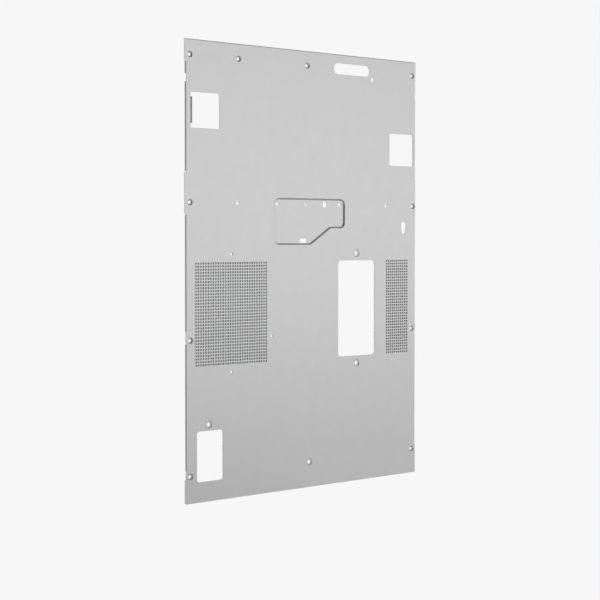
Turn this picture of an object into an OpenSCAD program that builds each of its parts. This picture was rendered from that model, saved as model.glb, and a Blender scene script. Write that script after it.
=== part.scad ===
// Printer rear panel: one sheet of coated steel, pierced, formed and folded.
// It is laid out with the front face in the plane y = 0, the back facing +y, x = 0 halfway between
// the side folds and z = 0 at the bottom edge. "in" is measured from the named side fold, "down"
// from the top edge and "up" from the bottom edge. The finished panel is then moved so that its
// origin is the middle of the four corner screws, on the plane where their dimples are seated.

/* [Sheet] */
// Width over the two side folds
panel_w = 410; // [404:1:460]
// Height from the bottom edge to the top fold
panel_h = 600; // [592:1:660]
// Thickness of the sheet
sheet_t = 1.2; // [0.8:0.1:1.6]

/* [Folded edges] */
// Inside radius of every fold
bend_r = 0.3; // [0.2:0.1:0.6]
// Straight part of the side and top folds, behind their bend
lip_straight = 0.5; // [0.2:0.1:4]
// How far the flat ears reach past the left fold
ear_reach = 1.5; // [0.5:0.1:4]
// Relief cut between a folded edge and a flat ear
relief_w = 1; // [0.4:0.1:2]
// How far the top fold stops short of each side fold
top_lip_in = 3; // [2.5:0.5:12]
// Height of the flat ear at the top corner
top_ear_h = 27.5; // [20:0.5:36]
// Middle of the tool notch in the side folds, down from the top edge
notch_down = 50; // [46:0.5:60]
// Height of the tool notch
notch_h = 10.6; // [4:0.2:14]
// How far the middle ear reaches above its screw
mid_ear_above = 39; // [10:1:50]
// How far the middle ear reaches below its screw
mid_ear_below = 15; // [8:1:40]
// Gap in the side fold above the third screw row
low_gap_above = 11.6; // [5:0.2:20]
// Gap in the side fold below the third screw row
low_gap_below = 4.4; // [4:0.2:20]
// Gap in the side fold above the bottom screw row
foot_gap_above = 7.5; // [5:0.5:20]
// Height of the flat ear at the bottom corner
foot_ear_h = 31.5; // [20:0.5:33]
// Radius of the left foot's rounded corner
foot_corner_r = 2.5; // [0.5:0.5:5]

/* [Screw rows and columns] */
// Top row of screws, down from the top edge
row_1_down = 20; // [16:0.5:26]
// Second row, down from the top edge
row_2_down = 210; // [205:0.5:214]
// Third row, up from the bottom edge
row_3_up = 211.4; // [205:0.2:218]
// Bottom row, up from the bottom edge
row_4_up = 35; // [30:0.5:38]
// Outer columns of screws, in from each side fold
side_col_in = 7; // [6.5:0.1:8]
// The second row's right screw, in from the right fold
row_2_right_in = 5; // [4.5:0.1:8]
// The top row's second screw, in from the left fold
top_screw_2_in = 85.5; // [70:0.5:100]
// The top row's third screw, in from the left fold
top_screw_3_in = 204; // [190:0.5:220]

/* [Screw dimples] */
// Hole of a countersunk dimple
csk_hole_d = 4.8; // [3.4:0.1:5.2]
// Rim of a countersunk dimple
csk_rim_d = 8.4; // [7.6:0.1:9]
// Depth of a countersunk dimple
dimple_depth = 1.5; // [1:0.1:2]
// Hole of a flat-bottomed dimple
flat_hole_d = 5.2; // [3.4:0.1:6]
// Floor of a flat-bottomed dimple
flat_floor_d = 8.8; // [7:0.1:9.2]
// Rim of a flat-bottomed dimple
flat_rim_d = 10.4; // [9.6:0.1:12]
// Depth of a flat-bottomed dimple
flat_depth = 0.8; // [0.5:0.1:1.5]
// Flat-bottomed dimples above and below the tall window, from its middle
window_screw_rise = 77.65; // [74:0.05:84]
// Flat-bottomed dimple above the connector window, up from the bottom edge
lower_screw_up = 100.6; // [98:0.1:110]
// The same dimple, in from the left fold
lower_screw_in = 36.3; // [20:0.1:60]
// Flat-bottomed dimple in the bottom row, in from the left fold
bottom_screw_in = 207.5; // [190:0.5:220]

/* [Collared holes] */
// Bore of a collared hole
collar_d = 4.2; // [2.5:0.1:4.6]
// Wall of the collar
collar_wall = 0.8; // [0.4:0.1:1.2]
// How far a collar reaches back from the front face
collar_depth = 1.9; // [1.7:0.1:4]
// Lead-in at the front of a collared hole
collar_lead = 0.3; // [0.2:0.1:0.6]
// Collared holes above and below the left vents, from the vents' middle
vent_collar_rise = 77.65; // [76:0.05:84]
// The same holes, in from the left fold
vent_collar_in = 73.7; // [40:0.1:110]
// Collared hole in the third row, in from the left fold
row_3_collar_in = 142.1; // [138:0.1:200]

/* [Plain holes] */
// Left plain hole in the second row, in from the left fold
plain_left_in = 84; // [70:0.5:120]
// Its diameter
plain_left_d = 5; // [3:0.1:6]
// Right plain hole in the second row, in from the right fold
plain_right_in = 58.6; // [40:0.1:100]
// Its diameter
plain_right_d = 5; // [3:0.1:6]
// Slotted hole near the top, in from the right fold
oblong_in = 85.3; // [70:0.1:110]
// The slotted hole, down from the top edge
oblong_down = 31.3; // [28:0.1:60]
// Width of the slotted hole
oblong_w = 5.2; // [3:0.1:6]
// Distance between the ends' centres of the slotted hole
oblong_run = 1.5; // [0.5:0.1:8]
// Lean of the slotted hole from upright, in degrees
oblong_lean = 10; // [0:1:45]

/* [Rectangular openings] */
// Side of the two square windows
square_win = 46; // [30:0.5:50]
// Corner radius of the square windows
square_win_r = 1.5; // [0.5:0.1:4]
// Left square window, in from the left fold to its near edge
left_win_in = 8.1; // [7:0.1:14]
// Left square window, down from the top edge to its middle
left_win_down = 91; // [85:0.5:110]
// Right square window, in from the right fold to its near edge
right_win_in = 5.8; // [5:0.1:14]
// Right square window, down from the top edge to its middle
right_win_down = 129.2; // [100:0.1:150]
// Length of the turned edge beside each square window
win_lip_len = 34; // [10:0.5:40]
// How far the left turned edge stands out in front of the face
left_win_lip = 1.3; // [0.8:0.1:5]
// How far its outer side stands inside the left window
left_win_lip_in = 2; // [0:0.1:4]
// How far the right turned edge stands out in front of the face
right_win_lip = 2; // [0.8:0.1:5]
// Width of the tall window
tall_win_w = 69; // [50:0.5:74]
// Height of the tall window
tall_win_h = 134.6; // [100:0.2:138]
// Corner radius of the tall window
tall_win_r = 5.5; // [2:0.5:12]
// Middle of the tall window, in from the right fold
tall_win_in = 115.2; // [113:0.1:118]
// Width of the connector window
conn_win_w = 42; // [30:0.5:50]
// Height of the connector window
conn_win_h = 66; // [50:0.5:68]
// Corner radius of the connector window
conn_win_r = 4; // [1:0.5:8]
// Middle of the connector window, in from the left fold
conn_win_in = 38.2; // [37:0.1:60]
// Middle of the connector window, up from the bottom edge
conn_win_up = 59.5; // [57:0.5:60]
// Width of the top slot
slot_w = 66.6; // [40:0.2:80]
// Height of the top slot
slot_h = 15.2; // [10:0.2:18]
// Corner radius of the top slot
slot_r = 6.5; // [2:0.1:7]
// Middle of the top slot, in from the right fold
slot_in = 124; // [100:0.5:130]
// Width of the keyhole
key_w = 9.4; // [6:0.1:12]
// Width of the keyhole's narrow end
key_tip_w = 4.5; // [3:0.1:5.5]
// Length of the keyhole's straight part
key_straight = 10.4; // [6:0.1:16]
// Length of the keyhole's tapered part
key_taper = 6; // [3:0.1:10]
// Middle of the keyhole, in from the right fold
key_in = 23.5; // [20:0.1:40]
// Top of the keyhole, down from the top edge
key_down = 233.6; // [228:0.1:240]

/* [Stamped recess] */
// Left side of the recess, in from the left fold
recess_in = 146.1; // [130:0.1:150]
// Full length of the recess
recess_l = 126.8; // [122:0.1:130]
// Height of the recess at its left part
recess_h = 63.7; // [55:0.1:66]
// Height of the recess at its right end
recess_right_h = 40.8; // [30:0.1:44]
// Length of the low right part
recess_right_l = 26.4; // [20:0.1:40]
// Length along the sheet of the slanting lower side
recess_slant = 36.3; // [25:0.1:45]
// Top of the recess above the second screw row
recess_above = 8.1; // [7:0.1:14]
// Depth of the recess
recess_depth = 2.2; // [1:0.1:3]
// Width of the recess's sloping wall
recess_wall_run = 2.1; // [1.5:0.1:3]
// Corner radius at the rim of the recess
recess_r = 8; // [5:0.1:9]
// Holes in the recess's floor, from its left side
floor_hole_at = [6.6, 57.2, 91.3, 118.5]; // [0:0.1:120]
// Diameters of the holes in the recess's floor
floor_hole_d = [5, 4.2, 8.4, 5]; // [2:0.1:9]
// Width of the rectangular hole in the recess's floor
floor_slot_w = 12.9; // [8:0.1:20]
// Height of the rectangular hole
floor_slot_h = 6; // [3:0.1:7]
// Middle of the rectangular hole, from the left side of the recess
floor_slot_at = 52.5; // [40:0.1:56]
// Middle of the rectangular hole, down from the top of the recess
floor_slot_drop = 58.2; // [50:0.1:58.4]

/* [Vents] */
// Spacing of the vent holes both ways
vent_pitch = 4; // [3.6:0.1:4.1]
// Diameter of a vent hole
vent_d = 1.6; // [1:0.1:2.8]
// Rows of vent holes
vent_rows = 34; // [4:1:34]
// Columns of the left vents
left_vent_cols = 30; // [4:1:30]
// Columns of the right vents
right_vent_cols = 11; // [2:1:11]
// Middle of the left vents, in from the left fold
left_vent_in = 73.7; // [68:0.1:76]
// Middle of the right vents, in from the right fold
right_vent_in = 37; // [32:0.1:45]
// Middle of the vents and the tall window, up from the bottom edge
vent_up = 244.7; // [240:0.1:252]

/* [Hidden] */
$fn = 48;
clear = 1;
bite = 0.5;
fold_r = bend_r + sheet_t;
lip_depth = fold_r + lip_straight;
dimple_back = dimple_depth + sheet_t;

left_x = -panel_w / 2;
right_x = panel_w / 2;
row_1 = panel_h - row_1_down;
row_2 = panel_h - row_2_down;
row_3 = row_3_up;
row_4 = row_4_up;
left_col = left_x + side_col_in;
right_col = right_x - side_col_in;
right_screw_2 = [right_x - row_2_right_in, row_2];
tall_win_x = right_x - tall_win_in;
vent_collar_x = left_x + vent_collar_in;
left_win_edge = left_x + left_win_in;
left_win_z = panel_h - left_win_down;
left_lip_x = left_win_edge + left_win_lip_in;
right_win_edge = right_x - right_win_in;
right_win_z = panel_h - right_win_down;

countersinks = [
    [left_col, row_1], [left_x + top_screw_2_in, row_1], [left_x + top_screw_3_in, row_1], [right_col, row_1],
    [left_col, row_2], right_screw_2,
    [left_col, row_3], [right_col, row_3],
    [left_col, row_4], [right_col, row_4]
];
flat_dimples = [
    [tall_win_x, vent_up + window_screw_rise], [tall_win_x, vent_up - window_screw_rise],
    [left_x + lower_screw_in, lower_screw_up], [left_x + bottom_screw_in, row_4]
];
collars = [
    [vent_collar_x, vent_up + vent_collar_rise], [vent_collar_x, vent_up - vent_collar_rise],
    [left_x + row_3_collar_in, row_3]
];

// Stretches of the side edges, each as its bottom and its top
top_ear = [panel_h - top_ear_h, panel_h];
mid_ear = [row_2 - mid_ear_below, row_2 + mid_ear_above];
foot_ear = [0, foot_ear_h];
low_gap = [row_3 - low_gap_below, row_3 + low_gap_above];
low_tab = [low_gap[0] + relief_w, low_gap[1] - relief_w];
foot_gap_top = row_4 + foot_gap_above;
foot_tab = [foot_ear_h, foot_gap_top - relief_w];
notch = [panel_h - notch_down - notch_h / 2, panel_h - notch_down + notch_h / 2];
side_lips = [
    [notch[1], top_ear[0] - relief_w],
    [mid_ear[1] + relief_w, notch[0]],
    [low_gap[1], mid_ear[0] - relief_w],
    [foot_gap_top, low_gap[0]]
];

// The recess's corners are rounded about these centres, given from its upper left corner
recess_x = left_x + recess_in;
recess_z = row_2 + recess_above;
recess_floor_r = recess_r - recess_wall_run;
slant_angle = atan2(recess_h - recess_right_h, recess_slant);
slant_top_x = recess_l - recess_right_l - recess_r * tan(slant_angle / 2);
slant_foot_x = slant_top_x - recess_slant;
low_z = recess_r - recess_h;
mid_z = recess_r - recess_right_h;
recess_left_part = [
    [recess_r, -recess_r], [slant_top_x, -recess_r], [slant_top_x, mid_z],
    [slant_foot_x, low_z], [recess_r, low_z]
];
recess_right_part = [
    [slant_foot_x, -recess_r], [recess_l - recess_r, -recess_r],
    [recess_l - recess_r, mid_z], [slant_foot_x, mid_z]
];

// A plate of the 2D shape given in x and z, between two depths behind the front face
module plate(front, back) {
    translate([0, back, 0]) rotate([90, 0, 0]) linear_extrude(back - front) children();
}

// A round or conical plug at a point of the face, between two depths
module plug(at, front, r_front, back, r_back) {
    translate([at[0], front, at[1]]) rotate([-90, 0, 0])
        cylinder(r1 = r_front, r2 = r_back, h = back - front);
}

// The hollow pressed into the front, opening wider towards the viewer so that it cuts cleanly
module hollow(at, r_rim, r_floor, depth) {
    plug(at, -clear, r_rim + clear * (r_rim - r_floor) / depth, depth, r_floor);
}

// What the same hollow raises on the back, with the sheet's full thickness left in its wall
module swelling(at, r_rim, r_floor, depth) {
    growth = sheet_t * tan(atan2(depth, r_rim - r_floor) / 2);
    plug(at, sheet_t, r_rim + growth, sheet_t + depth, r_floor + growth);
}

module bore(at, r, depth) {
    plug(at, -clear, r, depth + clear, r);
}

module rounded_rect(w, h, r) {
    square([w - 2 * r, h], center = true);
    square([w, h - 2 * r], center = true);
    for (sx = [-1, 1], sz = [-1, 1])
        translate([sx * (w / 2 - r), sz * (h / 2 - r)]) circle(r);
}

// A rectangle on one side edge, over a stretch of it, from the bend line to a reach past the fold
module edge_tab(side, span, reach) {
    width = fold_r + reach;
    translate([side * (panel_w / 2 + reach) - (side > 0 ? width : 0), span[0]])
        square([width, span[1] - span[0]]);
}

// The flat sheet between the folds, with its ears and the flush tabs beside the lower screws
module whole_outline() {
    translate([left_x + fold_r, 0]) square([panel_w - 2 * fold_r, panel_h - fold_r]);
    for (span = [top_ear, mid_ear, foot_ear]) edge_tab(-1, span, ear_reach);
    for (span = [top_ear, mid_ear, foot_ear]) edge_tab(1, span, 0);
    for (side = [-1, 1], span = [low_tab, foot_tab]) edge_tab(side, span, 0);
    translate(right_screw_2) circle(csk_rim_d / 2 + sheet_t);
}

// Where the sheet is cut free beside a square window, so that the window's edge can be turned
module win_lip_cut(dir, lip_x, mid_z) {
    translate([lip_x - (dir > 0 ? fold_r : clear), mid_z - win_lip_len / 2 - relief_w])
        square([fold_r + clear, win_lip_len + 2 * relief_w]);
}

// What the left foot loses at its rounded corner
module foot_corner_cut() {
    translate([left_x - ear_reach + foot_corner_r, foot_corner_r]) difference() {
        translate([-foot_corner_r - clear, -foot_corner_r - clear]) square(foot_corner_r + clear);
        circle(foot_corner_r);
    }
}

module outline() {
    difference() {
        whole_outline();
        foot_corner_cut();
        win_lip_cut(1, left_lip_x, left_win_z);
        win_lip_cut(-1, right_win_edge, right_win_z);
    }
}

// The left window leaves the sheet that runs in to its turned edge
module square_windows() {
    difference() {
        translate([left_win_edge + square_win / 2, left_win_z])
            rounded_rect(square_win, square_win, square_win_r);
        translate([left_win_edge, left_win_z - win_lip_len / 2])
            square([left_win_lip_in + clear / 2, win_lip_len]);
    }
    translate([right_win_edge - square_win / 2, right_win_z])
        rounded_rect(square_win, square_win, square_win_r);
}

module round_cornered_windows() {
    translate([tall_win_x, vent_up]) rounded_rect(tall_win_w, tall_win_h, tall_win_r);
    translate([left_x + conn_win_in, conn_win_up]) rounded_rect(conn_win_w, conn_win_h, conn_win_r);
    translate([right_x - slot_in, row_1]) rounded_rect(slot_w, slot_h, slot_r);
}

module keyhole() {
    translate([right_x - key_in, panel_h - key_down - key_straight]) {
        translate([-key_w / 2, 0]) square([key_w, key_straight]);
        polygon([[-key_w / 2, 0], [-key_tip_w / 2, -key_taper], [key_tip_w / 2, -key_taper], [key_w / 2, 0]]);
    }
}

module oblong_hole() {
    translate([right_x - oblong_in, panel_h - oblong_down]) rotate(-oblong_lean) {
        square([oblong_w, oblong_run], center = true);
        for (s = [-1, 1]) translate([0, s * oblong_run / 2]) circle(d = oblong_w);
    }
}

module plain_holes() {
    translate([left_x + plain_left_in, row_2]) circle(d = plain_left_d);
    translate([right_x - plain_right_in, row_2]) circle(d = plain_right_d);
}

module vent_field(mid_x, cols) {
    for (i = [0 : cols - 1], j = [0 : vent_rows - 1]) {
        x = mid_x + (i - (cols - 1) / 2) * vent_pitch;
        z = vent_up + (j - (vent_rows - 1) / 2) * vent_pitch;
        translate([x, z]) circle(d = vent_d);
    }
}

// Everything that is pierced straight through the flat sheet
module piercings() {
    square_windows();
    round_cornered_windows();
    keyhole();
    oblong_hole();
    plain_holes();
    vent_field(left_x + left_vent_in, left_vent_cols);
    vent_field(right_x - right_vent_in, right_vent_cols);
}

// Section of an edge turned through a right angle: it bites into the sheet, which arrives along +x
// with its outer face on y = 0, and the turned edge then runs along +y to the given depth
module fold_section(depth) {
    translate([-bite, 0]) square([bite, sheet_t]);
    intersection() {
        translate([0, fold_r]) difference() {
            circle(fold_r);
            circle(bend_r);
        }
        square(fold_r);
    }
    translate([bend_r, fold_r]) square([sheet_t, depth - fold_r]);
}

module side_lip(side, span) {
    translate([side * (panel_w / 2 - fold_r), 0, span[0]]) mirror([side < 0 ? 1 : 0, 0, 0])
        linear_extrude(span[1] - span[0]) fold_section(lip_depth);
}

module top_lip() {
    translate([right_x - top_lip_in, 0, panel_h - fold_r]) rotate([0, -90, 0])
        linear_extrude(panel_w - 2 * top_lip_in) fold_section(lip_depth);
}

// The edge of a square window turned to the front; dir is +1 where the window lies to its right
module window_lip(dir, lip_x, mid_z, rise) {
    translate([lip_x - dir * fold_r, sheet_t, mid_z - win_lip_len / 2]) mirror([dir < 0 ? 1 : 0, 0, 0])
        mirror([0, 1, 0]) linear_extrude(win_lip_len) fold_section(sheet_t + rise);
}

module turned_edges() {
    for (side = [-1, 1], span = side_lips) side_lip(side, span);
    top_lip();
    window_lip(1, left_lip_x, left_win_z, left_win_lip);
    window_lip(-1, right_win_edge, right_win_z, right_win_lip);
}

// Corner cones of one convex part of the recess, at their centres in the face
module cone_group(centres, front, r_front, back, r_back) {
    hull() for (c = centres)
        plug([recess_x + c[0], recess_z + c[1]], front, r_front, back, r_back, $fn = 32);
}

// The recess is its left part, which the slanting side cuts off, and its lower right part
module recess_form(front, r_front, back, r_back) {
    cone_group(recess_left_part, front, r_front, back, r_back);
    cone_group(recess_right_part, front, r_front, back, r_back);
}

module recess_hollow() {
    recess_form(-clear, recess_r + clear * recess_wall_run / recess_depth, recess_depth, recess_floor_r);
}

module recess_swelling() {
    growth = sheet_t * tan(atan2(recess_depth, recess_wall_run) / 2);
    recess_form(sheet_t, recess_r + growth, sheet_t + recess_depth, recess_floor_r + growth);
}

module recess_piercings() {
    back = recess_depth + sheet_t;
    for (i = [0 : len(floor_hole_at) - 1])
        bore([recess_x + floor_hole_at[i], row_2], floor_hole_d[i] / 2, back);
    plate(-clear, back + clear) translate([recess_x + floor_slot_at, recess_z - floor_slot_drop])
        square([floor_slot_w, floor_slot_h], center = true);
}

module screw_dimple_backs() {
    for (at = countersinks) swelling(at, csk_rim_d / 2, csk_hole_d / 2, dimple_depth);
    for (at = flat_dimples) swelling(at, flat_rim_d / 2, flat_floor_d / 2, flat_depth);
}

module screw_dimple_fronts() {
    for (at = countersinks) {
        hollow(at, csk_rim_d / 2, csk_hole_d / 2, dimple_depth);
        bore(at, csk_hole_d / 2, dimple_back);
    }
    for (at = flat_dimples) {
        hollow(at, flat_rim_d / 2, flat_floor_d / 2, flat_depth);
        bore(at, flat_hole_d / 2, flat_depth + sheet_t);
    }
}

module collar_tubes() {
    outer_r = collar_d / 2 + collar_wall;
    for (at = collars) plug(at, sheet_t, outer_r, collar_depth, outer_r);
}

module collar_bores() {
    for (at = collars) {
        bore(at, collar_d / 2, collar_depth);
        hollow(at, collar_d / 2 + collar_lead, collar_d / 2, collar_lead);
    }
}

module formed_sheet() {
    difference() {
        union() {
            plate(0, sheet_t) outline();
            turned_edges();
            recess_swelling();
            screw_dimple_backs();
            collar_tubes();
        }
        recess_hollow();
        recess_piercings();
        screw_dimple_fronts();
        collar_bores();
        plate(-clear, sheet_t + clear) piercings();
    }
}

module rear_panel() {
    color("lightgray") translate([0, -dimple_back, -(row_1 + row_4) / 2]) formed_sheet();
}

rear_panel();
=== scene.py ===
"""Studio picture of a printer's rear panel: one coated steel sheet, pierced, stamped and folded."""
import bpy
import math
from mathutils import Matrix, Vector


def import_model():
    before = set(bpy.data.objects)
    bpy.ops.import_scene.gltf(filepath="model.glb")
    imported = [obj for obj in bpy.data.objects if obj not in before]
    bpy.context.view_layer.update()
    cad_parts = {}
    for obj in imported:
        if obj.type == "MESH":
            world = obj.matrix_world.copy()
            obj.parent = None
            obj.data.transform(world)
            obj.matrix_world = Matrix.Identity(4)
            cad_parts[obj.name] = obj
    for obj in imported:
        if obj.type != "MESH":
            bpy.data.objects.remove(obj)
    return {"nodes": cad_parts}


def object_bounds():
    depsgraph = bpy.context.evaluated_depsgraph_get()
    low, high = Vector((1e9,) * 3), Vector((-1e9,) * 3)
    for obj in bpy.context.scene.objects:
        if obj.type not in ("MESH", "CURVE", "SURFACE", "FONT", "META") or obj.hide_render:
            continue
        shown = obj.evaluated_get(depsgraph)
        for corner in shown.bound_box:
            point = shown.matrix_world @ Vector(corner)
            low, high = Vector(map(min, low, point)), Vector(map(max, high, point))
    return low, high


MM = 0.001

# Camera: its place in metres from the panel's origin, how it is turned, and its lens for a square
# picture of PICTURE_WIDTH pixels.
CAMERA_PLACE = Vector((-1.2794, -1.5261, 0.0383))
CAMERA_YAW = math.radians(39.708)
CAMERA_PITCH = math.radians(-1.327)
PICTURE_WIDTH = 600
FOCAL_PIXELS = 1446.9
SHIFT_PIXELS = -30
SENSOR_WIDTH = 36

# Vent holes, in millimetres from the panel's origin: their pitch, the reach of the painted shade
# round each hole (a dark ring that stands in for the shade in and round the hole) and how softly it
# ends, and the two fields, which have the same rows.
VENT_PITCH = 4.0
VENT_SHADE_RADIUS = 1.40
VENT_SHADE_FADE = 0.1
VENT_MIDDLE_Z = -62.8
VENT_FIELD_HEIGHT = 136.0
LEFT_VENT_X = -131.3
LEFT_VENT_WIDTH = 120.0
RIGHT_VENT_X = 168.0
RIGHT_VENT_WIDTH = 44.0

# Coating. Colours are linear, and the noises' scales are per millimetre. The mottle moves the
# sheet's colour by SHEET_SPREAD each way. The grain moves its roughness, and so does the painted
# shade over the vents.
SHEET_COLOUR = (0.62, 0.625, 0.62)
SHEET_SPREAD = 0.03
METALLIC = 0.85
ROUGHNESS = 0.36
GRAIN_ROUGHNESS = 0.08
# Painted shade: a near-black colour for the vent holes' walls and a ring round each, standing in
# for the shade there.
VENT_SHADE_COLOUR = (0.012, 0.012, 0.013, 1)
VENT_ROUGHNESS = 0.4
MOTTLE = {"Scale": 0.05, "Detail": 3.0, "Roughness": 0.6}
GRAIN = {"Scale": 2.5, "Detail": 2.0, "Roughness": 0.6}
BUMP_STRENGTH = 0.05
BUMP_DEPTH = 0.05 * MM

# World, in linear levels. The camera sees the background all round. The sheet mirrors it only from
# behind the panel, and from the front a dim room, darker at the left. The ranges are of a ray's
# direction, BEHIND_RANGE of its Y and ROOM_RANGE of its X.
BACKGROUND = 0.93
BEHIND_RANGE = (-0.05, 0.25)
ROOM_LEFT = 0.07
ROOM_RIGHT = 0.34
ROOM_RANGE = (-0.8, 0.4)

# Floor. A share of it is plain white, and the rest is lit and shaded. FLOOR_WHITE_SHARE is the one
# that the camera sees. The sheet mirrors FLOOR_STEEP_SHARE along steep rays and FLOOR_FLAT_SHARE
# along flat ones, where FLOOR_FACING_RANGE is of a ray's slant, 0 straight down and 1 along the
# floor. Left of the panel it mirrors only FLOOR_LEFT_PART of that, where FLOOR_LEFT_RANGE is of X
# in metres.
FLOOR_SIZE = 40
FLOOR_COLOUR = (0.8, 0.8, 0.8, 1)
FLOOR_WHITE = (1, 1, 1, 1)
FLOOR_WHITE_SHARE = 0.91
FLOOR_STEEP_SHARE = 0.38
FLOOR_FLAT_SHARE = 0.8
FLOOR_FACING_RANGE = (0.45, 0.85)
FLOOR_LEFT_PART = 0.45
FLOOR_LEFT_RANGE = (-0.6, 0.0)

# The key lamp, in metres and watts: it hangs where the panel mirrors it to the camera.
KEY_PLACE = Vector((0.99, -2.13, 0.15))
KEY_TARGET = Vector((0, 0, 0))
KEY_WIDTH = 3.2
KEY_HEIGHT = 2.0
KEY_POWER = 17.3


class Nodes:
    """Short calls for a node tree. add gives the new node, and the others give its result."""

    def __init__(self, tree):
        self.tree = tree
        tree.nodes.clear()

    def add(self, kind, inputs=(), **settings):
        node = self.tree.nodes.new(kind)
        for name, value in settings.items():
            setattr(node, name, value)
        for socket, value in dict(inputs).items():
            self.put(node.inputs[socket], value)
        return node

    def put(self, socket, value):
        if isinstance(value, bpy.types.NodeSocket):
            self.tree.links.new(value, socket)
        else:
            socket.default_value = value

    def math(self, operation, a, b=0.0):
        return self.add("ShaderNodeMath", {0: a, 1: b}, operation=operation).outputs[0]

    def axes(self, vector):
        return self.add("ShaderNodeSeparateXYZ", {0: vector}).outputs

    def place(self, kind):
        return self.add("ShaderNodeTexCoord").outputs[kind]

    def noise(self, where, look):
        return self.add("ShaderNodeTexNoise", {"Vector": where, **look}).outputs["Fac"]

    def blend(self, share, a, b):
        """A colour that goes from a to b as share goes from 0 to 1."""
        return self.add("ShaderNodeMix", {0: share, 6: a, 7: b}, data_type="RGBA").outputs[2]

    def slope(self, value, start, end, first=0.0, last=1.0):
        """Goes from first to last as value goes from start to end, with soft ends."""
        ends = {"From Min": start, "From Max": end, "To Min": first, "To Max": last}
        node = self.add(
            "ShaderNodeMapRange", {"Value": value, **ends}, interpolation_type="SMOOTHSTEP"
        )
        return node.outputs["Result"]


def grey(level):
    return (level, level, level, 1)


def sheet_shade(factor):
    return tuple(factor * part for part in SHEET_COLOUR) + (1,)


def vent_shade_field(nodes, x, z, middle_x, width, holes_on_middle):
    """Painted shade: 1 on the walls of one field's holes and on a dark ring round each, fading out
    at its edge.

    The field is a grid of square cells with a hole in the middle of each. Its middle lies between
    two cells, or with holes_on_middle in the middle of a column.
    """
    offset = nodes.math("SUBTRACT", x, middle_x)
    height = nodes.math("SUBTRACT", z, VENT_MIDDLE_Z)
    column = nodes.math("DIVIDE", offset, VENT_PITCH)
    if holes_on_middle:
        column = nodes.math("ADD", column, 0.5)
    row = nodes.math("DIVIDE", height, VENT_PITCH)
    squares = []
    for cell in (column, row):
        from_hole = nodes.math("SUBTRACT", nodes.math("FRACT", cell), 0.5)
        squares.append(nodes.math("POWER", nodes.math("MULTIPLY", from_hole, VENT_PITCH), 2.0))
    distance = nodes.math("SQRT", nodes.math("ADD", *squares))
    # Painted shade: dark within a set radius of each hole's centre, for the shade in and round the
    # hole.
    hole_shade = nodes.slope(distance, VENT_SHADE_RADIUS, VENT_SHADE_RADIUS - VENT_SHADE_FADE)
    in_width = nodes.math("LESS_THAN", nodes.math("ABSOLUTE", offset), width / 2)
    in_height = nodes.math("LESS_THAN", nodes.math("ABSOLUTE", height), VENT_FIELD_HEIGHT / 2)
    return nodes.math("MULTIPLY", hole_shade, nodes.math("MULTIPLY", in_width, in_height))


def coated_sheet():
    """Satin light grey coating: a faint mottle, a fine grain, and painted shade in and round the
    vent holes.
    """
    material = bpy.data.materials.new("coated_sheet")
    material.use_nodes = True
    nodes = Nodes(material.node_tree)
    scaling = nodes.add(
        "ShaderNodeVectorMath", {0: nodes.place("Object"), "Scale": 1 / MM}, operation="SCALE"
    )
    place_mm = scaling.outputs[0]
    axes = nodes.axes(place_mm)
    # Painted shade over both vent fields, standing in for the shade in and round the holes.
    left = vent_shade_field(nodes, axes["X"], axes["Z"], LEFT_VENT_X, LEFT_VENT_WIDTH, False)
    right = vent_shade_field(nodes, axes["X"], axes["Z"], RIGHT_VENT_X, RIGHT_VENT_WIDTH, True)
    vent_shade = nodes.math("MAXIMUM", left, right)
    mottle = nodes.noise(place_mm, MOTTLE)
    grain = nodes.noise(place_mm, GRAIN)
    sheet = nodes.blend(mottle, sheet_shade(1 - SHEET_SPREAD), sheet_shade(1 + SHEET_SPREAD))
    roughness = nodes.math("ADD", nodes.math("MULTIPLY", grain, GRAIN_ROUGHNESS), ROUGHNESS)
    roughness = nodes.math("ADD", roughness, nodes.math("MULTIPLY", vent_shade, VENT_ROUGHNESS))
    bump = nodes.add(
        "ShaderNodeBump", {"Strength": BUMP_STRENGTH, "Distance": BUMP_DEPTH, "Height": grain}
    )
    surface = nodes.add(
        "ShaderNodeBsdfPrincipled",
        {
            "Base Color": nodes.blend(vent_shade, sheet, VENT_SHADE_COLOUR),
            "Metallic": METALLIC,
            "Roughness": roughness,
            "Normal": bump.outputs[0],
        },
    )
    nodes.add("ShaderNodeOutputMaterial", {"Surface": surface.outputs[0]})
    return material


def seen_and_mirrored(nodes):
    """Two switches: 1 for a ray straight or through glass to the camera, 1 for a mirrored ray."""
    path = nodes.add("ShaderNodeLightPath").outputs
    seen = nodes.math("MAXIMUM", path["Is Camera Ray"], path["Is Transmission Ray"])
    return seen, path["Is Glossy Ray"]


def studio_world():
    """A white backdrop for the camera and behind the panel, and a dim room on the camera's side."""
    world = bpy.data.worlds.new("studio")
    bpy.context.scene.world = world
    world.use_nodes = True
    nodes = Nodes(world.node_tree)
    axes = nodes.axes(nodes.place("Generated"))
    seen, mirrored = seen_and_mirrored(nodes)
    behind = nodes.slope(axes["Y"], *BEHIND_RANGE)
    white = nodes.math("MAXIMUM", seen, nodes.math("MULTIPLY", mirrored, behind))
    rightwards = nodes.slope(axes["X"], *ROOM_RANGE)
    room = nodes.blend(rightwards, grey(ROOM_LEFT), grey(ROOM_RIGHT))
    colour = nodes.blend(white, room, grey(BACKGROUND))
    background = nodes.add("ShaderNodeBackground", {"Color": colour, "Strength": 1.0})
    nodes.add("ShaderNodeOutputWorld", {"Surface": background.outputs[0]})


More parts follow.
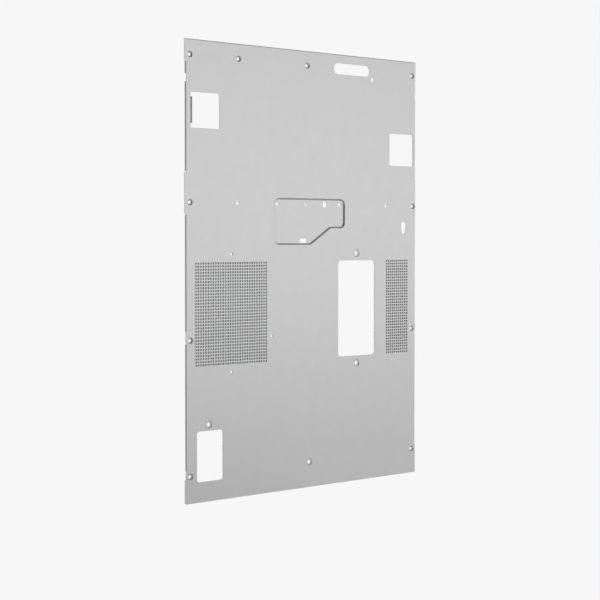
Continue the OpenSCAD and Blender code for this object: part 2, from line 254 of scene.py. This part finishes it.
def pale_floor(height):
    """A wide pale floor that melts into the background and keeps a faint shadow."""
    bpy.ops.mesh.primitive_plane_add(size=FLOOR_SIZE, location=(0, 0, height))
    floor = bpy.context.object
    floor.name = "floor"
    material = bpy.data.materials.new("pale_floor")
    material.use_nodes = True
    nodes = Nodes(material.node_tree)
    matt = nodes.add("ShaderNodeBsdfDiffuse", {"Color": FLOOR_COLOUR})
    white = nodes.add("ShaderNodeEmission", {"Color": FLOOR_WHITE, "Strength": 1.0})
    seen, mirrored = seen_and_mirrored(nodes)
    facing = nodes.add("ShaderNodeLayerWeight", {"Blend": 0.5}).outputs["Facing"]
    flatness = nodes.slope(facing, *FLOOR_FACING_RANGE, FLOOR_STEEP_SHARE, FLOOR_FLAT_SHARE)
    part = nodes.slope(nodes.axes(nodes.place("Object"))["X"], *FLOOR_LEFT_RANGE, FLOOR_LEFT_PART)
    white_seen = nodes.math("MULTIPLY", seen, FLOOR_WHITE_SHARE)
    white_mirrored = nodes.math("MULTIPLY", mirrored, nodes.math("MULTIPLY", flatness, part))
    share = nodes.math("MAXIMUM", white_seen, white_mirrored)
    mix = nodes.add("ShaderNodeMixShader", {0: share, 1: matt.outputs[0], 2: white.outputs[0]})
    nodes.add("ShaderNodeOutputMaterial", {"Surface": mix.outputs[0]})
    floor.data.materials.append(material)


def place_object(name, data, place, turn):
    """A new object with a camera's or lamp's data, at a place in metres, turned by Euler angles."""
    placed = bpy.data.objects.new(name, data)
    placed.location = place
    placed.rotation_euler = turn
    bpy.context.scene.collection.objects.link(placed)
    return placed


def key_lamp():
    """One large soft lamp where the panel mirrors it to the camera."""
    lamp = bpy.data.lights.new("key", "AREA")
    lamp.shape = "RECTANGLE"
    lamp.size = KEY_WIDTH
    lamp.size_y = KEY_HEIGHT
    lamp.energy = KEY_POWER
    turn = (KEY_TARGET - KEY_PLACE).to_track_quat("-Z", "Y")
    place_object("key", lamp, KEY_PLACE, turn.to_euler())


def photograph_camera():
    """The camera at the photograph's view, which looks along +Y before it is turned."""
    camera = bpy.data.cameras.new("camera")
    camera.sensor_width = SENSOR_WIDTH
    camera.lens = FOCAL_PIXELS / PICTURE_WIDTH * SENSOR_WIDTH
    camera.shift_y = SHIFT_PIXELS / PICTURE_WIDTH
    turn = (math.pi / 2 + CAMERA_PITCH, 0, -CAMERA_YAW)
    bpy.context.scene.camera = place_object("camera", camera, CAMERA_PLACE, turn)


def main():
    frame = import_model()
    cad_box = [list(corner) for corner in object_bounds()]
    panel = frame["nodes"]["rear_panel"]
    for slot in panel.material_slots:
        slot.material = coated_sheet()
    bpy.context.scene.view_settings.view_transform = "Standard"
    photograph_camera()
    studio_world()
    pale_floor(cad_box[0][2])
    key_lamp()


main()
